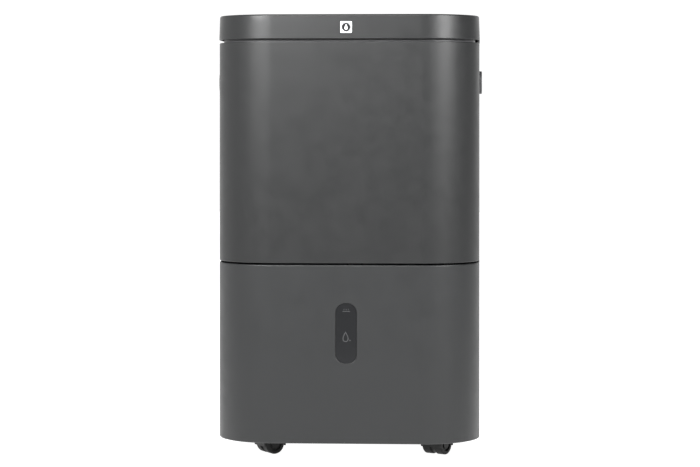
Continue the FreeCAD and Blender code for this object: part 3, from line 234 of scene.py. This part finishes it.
for coil in ("evaporator", "condenser"):
    low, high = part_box(f"{coil}_fins")
    rows = bmesh.new()
    count = int((high.x - low.x - 4 * END_PLATE) / FIN_PITCH)
    first = (low.x + high.x - (count - 1) * FIN_PITCH) / 2
    for i in range(count):
        middle = first + i * FIN_PITCH
        fin = block(rows, (middle - FIN_THICK / 2, low.y, low.z), (middle + FIN_THICK / 2, high.y, high.z))
        bmesh.ops.translate(rows, vec=(0, 0, 0.25 * MM * (i % 2)), verts=fin)
    fitted(f"{coil}_fin_rows", rows, mill_aluminium, "cabinet", [f"{coil}_fins"])
    plates = bmesh.new()
    block(plates, low, (low.x + END_PLATE, high.y, high.z))
    block(plates, (high.x - END_PLATE, low.y, low.z), high)
    fitted(f"{coil}_end_plates", plates, galvanised, "cabinet")
    deburred(f"{coil}_tubes", copper)


# ---- Fan and control electronics ----------------------------------------------------------------------
# A blower in a snail housing blows up through a flat plenum. The power electronics sit in an open box
# above the compressor.
grey_moulding = surface("grey_moulding", (0.30, 0.31, 0.31), 0.44, grain=0.5, depth=0.1, mottle=0.04)
blower_moulding = surface("blower_moulding", (0.05, 0.05, 0.052), 0.48, grain=0.5, depth=0.15)
ground_steel = surface("ground_steel", (0.56, 0.56, 0.57), 0.25, grain=0.4, depth=0.1, streaks=(1, 0.1, 1),
                       Metallic=1.0)
zinc_plate = surface("zinc_plate", (0.58, 0.58, 0.56), 0.34, grain=1.0, depth=0.06, mottle=0.1, Metallic=1.0)
for node in ("fan_scroll", "outlet_duct", "control_box"):
    deburred(node, grey_moulding)
deburred("fan_wheel", blower_moulding)
deburred("motor_shaft", ground_steel)
deburred("fan_motor", zinc_plate)
deburred("louvre_motor", zinc_plate)


# ---- Cabinet shells -----------------------------------------------------------------------------------
# The cabinet is two dark grey mouldings in one finish: a satin spark-eroded texture. They meet in an
# upright seam on each side, and black zinc screws hold the back.
casing_grey = surface("casing_grey", (0.0060, 0.0064, 0.0066), 0.44, grain=0.30, depth=0.10, mottle=0.025,
                      edge_wear_and_highlight=0.25, uneven=0.03, Specular_IOR_Level=0.38)
# A smoother copy of the casing finish, a little paler in colour: the smoothness is real, the paleness is
# painted light for the brighter lid.
lid_grey_painted_paler = surface("lid_grey_painted_paler", (0.0065, 0.0069, 0.0071), 0.40, grain=0.30, depth=0.08, mottle=0.025,
                   edge_wear_and_highlight=0.25, uneven=0.03, Specular_IOR_Level=0.36)
black_zinc = surface("black_zinc", (0.05, 0.05, 0.052), 0.30, grain=0.5, depth=0.1, Metallic=1.0)
deburred("rear_casing", casing_grey)
deburred("front_casing", casing_grey)
deburred("casing_screws", black_zinc)
deburred("cord_gland", rubber)
deburred("drain_plug", rubber)
deburred("side_grips", black_moulding)


# ---- Rear intake door ---------------------------------------------------------------------------------
# A slotted black door with a clip-in dust filter: a moulded frame over a fine woven screen.
screen_thread = surface("screen_thread", (0.035, 0.036, 0.040), 0.6, grain=0.4, depth=0.2)
THREAD = 0.22 * MM
THREAD_PITCH = 1.9 * MM
deburred("intake_grille", black_moulding)
deburred("filter_frame", black_moulding)
low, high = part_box("filter_mesh")
screen = bmesh.new()
middle_y = (low.y + high.y) / 2
for i in range(int((high.x - low.x) / THREAD_PITCH) + 1):
    x = low.x + i * THREAD_PITCH
    block(screen, (x - THREAD, middle_y - THREAD, low.z), (x + THREAD, middle_y, high.z))
for i in range(int((high.z - low.z) / THREAD_PITCH) + 1):
    z = low.z + i * THREAD_PITCH
    block(screen, (low.x, middle_y, z - THREAD), (high.x, middle_y + THREAD, z + THREAD))
fitted("filter_screen", screen, screen_thread, "rear_door", ["filter_mesh"])


# ---- Neck, outlet and louvres -------------------------------------------------------------------------
# The black neck shows as a dark line under the lid. The outlet's well holds four coupled louvres under
# fixed guard bars.
deburred("top_frame", black_moulding)
deburred("outlet_frame", black_moulding)
deburred("louvre_link", black_moulding)
for i in range(1, 5):
    deburred(f"louvre_{i}", black_moulding)


# ---- Lid ----------------------------------------------------------------------------------------------
# A tapered cap over the whole top, a little smoother than the casing and a little paler in colour as painted
# light, with a small square badge on its front: a white plate with a dark disc and a plain water drop.
white_enamel = surface("white_enamel", (0.80, 0.81, 0.82), 0.25, grain=0.8, depth=0.04, mottle=0.02)
black_enamel = surface("black_enamel", (0.010, 0.010, 0.011), 0.25, grain=0.8, depth=0.05, mottle=0.1)
PRINT = 0.08 * MM
DROP_WIDTH = 0.37
DROP_POINT = 1.4


def outline(work, points, wide, proud, closed=True):
    """A printed line of even width through flat points, standing a little proud of z = 0."""
    count = len(points)
    rows = []
    for i, point in enumerate(points):
        before = points[(i - 1) % count if closed else max(i - 1, 0)]
        after = points[(i + 1) % count if closed else min(i + 1, count - 1)]
        along = (Vector(after) - Vector(before)).normalized()
        aside = Vector((-along.y, along.x)) * wide / 2
        sides = (Vector(point) + aside, Vector(point) - aside)
        rows.append([work.verts.new((*side, proud)) for side in sides])
    for i in range(count if closed else count - 1):
        (a, b), (c, d) = rows[i], rows[(i + 1) % count]
        work.faces.new((a, b, d, c))


def filled(work, points, proud):
    """A printed flat patch inside a ring of points."""
    work.faces.new([work.verts.new((*point, proud)) for point in points])


def ring(x, y, radius, first=0, last=360, steps=36):
    """Points round a circle, between two angles in degrees."""
    count = steps if last - first == 360 else steps + 1
    angles = [math.radians(first + (last - first) * i / steps) for i in range(count)]
    return [(x + radius * math.cos(a), y + radius * math.sin(a)) for a in angles]


def droplet(x, y, height, steps=40):
    """Points round a water drop with its point upward."""
    points = []
    for i in range(steps):
        a = 2 * math.pi * i / steps
        across = DROP_WIDTH * math.sin(a) * math.sin(a / 2) ** DROP_POINT
        points.append((x + height * across, y + height * 0.5 * math.cos(a)))
    return points


def printed(name, work, material, body, place, turn=0.0):
    """Gives a flat print its thickness and sets it on its surface: face up, or tipped up to face forward."""
    for face in work.faces:
        face.normal_update()
        if face.normal.z < 0:
            face.normal_flip()
    sides = bmesh.ops.extrude_face_region(work, geom=work.faces[:])["geom"]
    lifted = [v for v in sides if isinstance(v, bmesh.types.BMVert)]
    bmesh.ops.translate(work, vec=(0, 0, -2 * PRINT), verts=lifted)
    bmesh.ops.recalc_face_normals(work, faces=work.faces)
    bmesh.ops.rotate(work, matrix=Matrix.Rotation(turn, 3, "X"), verts=work.verts)
    bmesh.ops.translate(work, vec=place, verts=work.verts)
    return fitted(name, work, material, body)


deburred("lid_shell", lid_grey_painted_paler)
deburred("lid_badge", white_enamel)
low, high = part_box("lid_badge")
badge_middle = Vector(((low.x + high.x) / 2, low.y, (low.z + high.z) / 2))
disc = bmesh.new()
filled(disc, ring(0, 0, 6.7 * MM), PRINT)
printed("badge_disc", disc, black_enamel, "cabinet", badge_middle, math.pi / 2)
drop = bmesh.new()
outline(drop, ring(0, 0, 5.9 * MM), 0.22 * MM, 2 * PRINT)
filled(drop, droplet(0, 0.3 * MM, 7.4 * MM), 2 * PRINT)
printed("badge_drop", drop, white_enamel, "cabinet", badge_middle, math.pi / 2)


# ---- Control panel ------------------------------------------------------------------------------------
# A strip of glossy black acrylic, six satin keys that come through it, and the board below.
piano_black = surface("piano_black", (0.006, 0.006, 0.007), 0.07, grain=2.0, depth=0.01, mottle=0.1,
                      uneven=0.03)
key_black = surface("key_black", (0.030, 0.030, 0.032), 0.32, grain=0.3, depth=0.08, edge_wear_and_highlight=0.3)
circuit_green = surface("circuit_green", (0.012, 0.11, 0.045), 0.35, grain=0.8, depth=0.15, mottle=0.2)
white_ink = surface("white_ink", (0.62, 0.64, 0.65), 0.5, grain=0.3, depth=0.1, mottle=0.04)
lit_segments = surface("lit_segments", (0.55, 0.80, 0.85), 0.3, grain=0.3, depth=0.03, mottle=0.04,
                       Emission_Color=(0.50, 0.90, 1.0, 1), Emission_Strength=1.6)
INK = 0.7 * MM
deburred("control_panel", piano_black)
deburred("display_board", circuit_green)


def power_icon(ink):
    outline(ink, ring(0, 0, 3.2 * MM, 125, 415), INK, PRINT, closed=False)
    outline(ink, [(0, 1.0 * MM), (0, 4.2 * MM)], INK, PRINT, closed=False)


def mode_icon(ink):
    outline(ink, droplet(0, 0.4 * MM, 8.4 * MM), INK, PRINT)
    outline(ink, ring(0, -0.9 * MM, 1.6 * MM, 190, 270, 8), 0.5 * MM, PRINT, closed=False)


def fan_icon(ink):
    filled(ink, ring(0, 0, 0.8 * MM, steps=16), PRINT)
    for blade in range(3):
        turn = math.radians(120 * blade)
        points = [Vector(p) for p in droplet(0, 0, 3.4 * MM, 20)]
        points = [Vector((-p.x + 0.5 * MM * (p.y / (1.7 * MM)), -p.y + 2.6 * MM)) for p in points]
        across, up = math.cos(turn), math.sin(turn)
        filled(ink, [(p.x * across - p.y * up, p.x * up + p.y * across) for p in points], PRINT)


def timer_icon(ink):
    outline(ink, ring(0, 0, 3.8 * MM), INK, PRINT)
    outline(ink, [(0, 2.5 * MM), (0, 0), (1.7 * MM, -1.2 * MM)], 0.6 * MM, PRINT, closed=False)


def minus_icon(ink):
    outline(ink, [(-3.4 * MM, 0), (3.4 * MM, 0)], 0.9 * MM, PRINT, closed=False)


def plus_icon(ink):
    minus_icon(ink)
    outline(ink, [(0, 3.4 * MM), (0, 0.5 * MM)], 0.9 * MM, PRINT, closed=False)
    outline(ink, [(0, -0.5 * MM), (0, -3.4 * MM)], 0.9 * MM, PRINT, closed=False)


ICONS = {"power": power_icon, "mode": mode_icon, "fan": fan_icon, "timer": timer_icon, "minus": minus_icon,
         "plus": plus_icon}
for key, icon in ICONS.items():
    deburred(f"button_{key}", key_black)
    low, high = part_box(f"button_{key}")
    ink = bmesh.new()
    icon(ink)
    key_top = ((low.x + high.x) / 2, (low.y + high.y) / 2, high.z)
    printed(f"{key}_icon", ink, white_ink, f"button_{key}", key_top)
key_row = (low.y + high.y) / 2

# Two lit digits for the humidity and a lit drop, in the middle of the panel's face
SEGMENTS = {"a": (0, 1, 1, 0), "b": (1, 0.5, 0, 1), "c": (1, -0.5, 0, 1), "d": (0, -1, 1, 0),
            "e": (-1, -0.5, 0, 1), "f": (-1, 0.5, 0, 1), "g": (0, 0, 1, 0)}
DIGIT_HALF = (2.9 * MM, 5.6 * MM)
low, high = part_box("control_panel")
digits = bmesh.new()
for middle, lit in ((-9.0 * MM, "acdfg"), (1.5 * MM, "abcdef")):
    for segment in lit:
        across, up, flat, tall = SEGMENTS[segment]
        x, y = middle + across * DIGIT_HALF[0], up * DIGIT_HALF[1]
        reach = Vector((flat * (DIGIT_HALF[0] - 0.7 * MM), tall * (DIGIT_HALF[1] / 2 - 0.7 * MM)))
        ends = [(x - reach.x, y - reach.y), (x + reach.x, y + reach.y)]
        outline(digits, ends, 1.1 * MM, 0.5 * PRINT, closed=False)
outline(digits, droplet(13.0 * MM, 0, 8.0 * MM), 0.8 * MM, 0.5 * PRINT)
printed("humidity_digits", digits, lit_segments, "cabinet", (0, key_row, high.z))


# ---- Bucket -------------------------------------------------------------------------------------------
# The tub is a milky moulding with a splash lid, a float and a folding bail. It is fixed behind a front panel
# in the casing's grey made paler as painted light, with a smoked window over the water level.
milky = surface("milky", (0.56, 0.58, 0.59), 0.30, grain=0.6, depth=0.06, mottle=0.03,
                Transmission_Weight=0.25)
float_foam = surface("float_foam", (0.76, 0.76, 0.73), 0.6, grain=0.8, depth=0.25, mottle=0.05)
smoked = surface("smoked", (0.006, 0.0063, 0.007), 0.12, grain=2.0, depth=0.02, mottle=0.05, uneven=0.04,
                 Specular_IOR_Level=0.22)
deburred("bucket_tub", milky)
deburred("bucket_lid", milky)
deburred("float", float_foam)
deburred("bucket_handle", black_moulding)
# The casing's finish in a paler colour: painted light standing in for the brighter light the bucket panel
# catches.
bucket_grey_painted_paler = surface("bucket_grey_painted_paler", (0.0100, 0.0106, 0.0110), 0.44, grain=0.30, depth=0.10, mottle=0.025,
                      edge_wear_and_highlight=0.25, uneven=0.03, Specular_IOR_Level=0.38)
deburred("bucket_front", bucket_grey_painted_paler)
deburred("level_window", smoked)

# The lens is dished: a narrow rim, a border that slopes in, and a sunk middle with faint prints
WINDOW_SIZE = (28.6 * MM, 81.0 * MM)
WINDOW_CORNER = 12.5 * MM
LENS_GAP = 0.12 * MM
LENS_STEPS = ((0.9 * MM, 0.0), (0.3 * MM, -0.25 * MM), (1.7 * MM, -0.75 * MM), (0.5 * MM, -0.08 * MM))
faint_ink = surface("faint_ink", (0.046, 0.047, 0.049), 0.5, grain=0.4, depth=0.05, mottle=0.05)
low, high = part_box("bucket_front")
lens_y = low.y + 0.45 * MM
low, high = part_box("level_window")
lens_middle = Vector((0, lens_y, (low.z + high.z) / 2))
lens = bmesh.new()
bmesh.ops.create_grid(lens, x_segments=1, y_segments=1, size=0.5)
bmesh.ops.scale(lens, vec=(WINDOW_SIZE[0] - 2 * LENS_GAP, WINDOW_SIZE[1] - 2 * LENS_GAP, 1), verts=lens.verts)
bmesh.ops.bevel(lens, geom=lens.verts[:], offset=WINDOW_CORNER - LENS_GAP, offset_type="OFFSET", segments=10,
                profile=0.5, affect="VERTICES")
middle = lens.faces[:]
for step, sink in LENS_STEPS:
    bmesh.ops.inset_region(lens, faces=middle, thickness=step, depth=sink, use_even_offset=True)
rim = [edge for edge in lens.edges if edge.is_boundary]
skirt = bmesh.ops.extrude_edge_only(lens, edges=rim)["geom"]
skirt = [v for v in skirt if isinstance(v, bmesh.types.BMVert)]
bmesh.ops.translate(lens, vec=(0, 0, -2.4 * MM), verts=skirt)
bmesh.ops.contextual_create(lens, geom=[edge for edge in lens.edges if edge.is_boundary])
bmesh.ops.recalc_face_normals(lens, faces=lens.faces)
bmesh.ops.rotate(lens, matrix=Matrix.Rotation(math.pi / 2, 3, "X"), verts=lens.verts)
bmesh.ops.translate(lens, vec=lens_middle, verts=lens.verts)
fitted("level_lens", lens, smoked, "bucket", crease=50)

lens_face = lens_middle + Vector((0, -sum(sink for _, sink in LENS_STEPS) - PRINT, 0))
marks = bmesh.new()
outline(marks, droplet(-0.8 * MM, -4.6 * MM, 13.0 * MM), 0.8 * MM, PRINT)
filled(marks, ring(5.2 * MM, -9.6 * MM, 0.8 * MM, steps=16), PRINT)
outline(marks, [(-5.0 * MM, 29.6 * MM), (5.0 * MM, 29.6 * MM)], 0.6 * MM, PRINT, closed=False)
for across in (-3, 0, 3):
    outline(marks, [(across * MM, 31.4 * MM), (across * MM, 33.0 * MM)], 0.6 * MM, PRINT, closed=False)
printed("level_marks", marks, faint_ink, "bucket", lens_face, math.pi / 2)


# ---- Studio -------------------------------------------------------------------------------------------
# A plain pale floor that glows a little, in a dim grey studio with pale side walls. Three wide soft lights
# hang in front of the cabinet: left, right, and a weaker one above.
FLOOR_GLOW = 1.0
STUDIO_GREY = 0.05
STUDIO_WHITE = 1.05
LEFT_WALL = 1.1
RIGHT_WALL = 0.30
floor_paint = surface("pale_floor", (0.55, 0.55, 0.55), 0.8, grain=4.0, depth=0.02, mottle=0.01)
floor_shader = floor_paint.node_tree.nodes["Principled BSDF"]
floor_shader.inputs["Emission Color"].default_value = (1, 1, 1, 1)
floor_shader.inputs["Emission Strength"].default_value = FLOOR_GLOW
floor = bpy.data.objects.new("floor", bpy.data.meshes.new("floor"))
sheet = bmesh.new()
bmesh.ops.create_grid(sheet, x_segments=1, y_segments=1, size=8.0)
sheet.to_mesh(floor.data)
sheet.free()
floor.data.materials.append(floor_paint)
bpy.context.scene.collection.objects.link(floor)

# The surround is white to the camera all round. It lights the cabinet from behind and from both sides.
world = bpy.data.worlds.new("surround")
world.use_nodes = True
nodes, links = world.node_tree.nodes, world.node_tree.links
direction = nodes.new("ShaderNodeTexCoord")
behind = nodes.new("ShaderNodeVectorMath")
behind.operation = "DOT_PRODUCT"
behind.inputs[1].default_value = (0, 1, 0)
links.new(direction.outputs["Generated"], behind.inputs[0])
fade = nodes.new("ShaderNodeValToRGB")
fade.color_ramp.interpolation = "EASE"
fade.color_ramp.elements[0].position = 0.60
fade.color_ramp.elements[0].color = (STUDIO_GREY, STUDIO_GREY, STUDIO_GREY, 1)
fade.color_ramp.elements[1].position = 0.88
fade.color_ramp.elements[1].color = (1.25, 1.25, 1.25, 1)
links.new(behind.outputs["Value"], fade.inputs["Fac"])
glow = fade.outputs["Color"]
for side, level in ((-1, LEFT_WALL), (1, RIGHT_WALL)):
    sideward = nodes.new("ShaderNodeVectorMath")
    sideward.operation = "DOT_PRODUCT"
    sideward.inputs[1].default_value = (side, 0, 0)
    links.new(direction.outputs["Generated"], sideward.inputs[0])
    wall = nodes.new("ShaderNodeValToRGB")
    wall.color_ramp.interpolation = "EASE"
    wall.color_ramp.elements[0].position = 0.45
    wall.color_ramp.elements[0].color = (0, 0, 0, 1)
    wall.color_ramp.elements[1].position = 0.95
    wall.color_ramp.elements[1].color = (level, level, level, 1)
    links.new(sideward.outputs["Value"], wall.inputs["Fac"])
    both = nodes.new("ShaderNodeVectorMath")
    links.new(glow, both.inputs[0])
    links.new(wall.outputs["Color"], both.inputs[1])
    glow = both.outputs["Vector"]
links.new(glow, nodes["Background"].inputs["Color"])
seen = nodes.new("ShaderNodeBackground")
seen.inputs["Color"].default_value = (1, 1, 1, 1)
seen.inputs["Strength"].default_value = STUDIO_WHITE
ray = nodes.new("ShaderNodeLightPath")
mix = nodes.new("ShaderNodeMixShader")
links.new(ray.outputs["Is Camera Ray"], mix.inputs["Fac"])
links.new(nodes["Background"].outputs["Background"], mix.inputs[1])
links.new(seen.outputs["Background"], mix.inputs[2])
links.new(mix.outputs["Shader"], nodes["World Output"].inputs["Surface"])
bpy.context.scene.world = world
bpy.context.scene.view_settings.view_transform = "Standard"


def soft_light(name, place, target, width, height, power):
    """A rectangular soft light at a place, facing a target."""
    light = bpy.data.objects.new(name, bpy.data.lights.new(name, "AREA"))
    light.data.shape = "RECTANGLE"
    light.data.size = width
    light.data.size_y = height
    light.data.energy = power
    light.location = place
    light.rotation_euler = (Vector(target) - Vector(place)).to_track_quat("-Z", "Y").to_euler()
    bpy.context.scene.collection.objects.link(light)
    return light


soft_light("left_light", (-0.56, -0.98, 0.95), (0, -0.1, 0.55), 0.70, 0.22, 31)
soft_light("right_light", (1.05, -0.92, 0.95), (0, -0.1, 0.55), 0.60, 0.22, 34)
soft_light("top_light", (0.0, -1.05, 1.10), (0, -0.1, 0.50), 0.50, 0.20, 5)
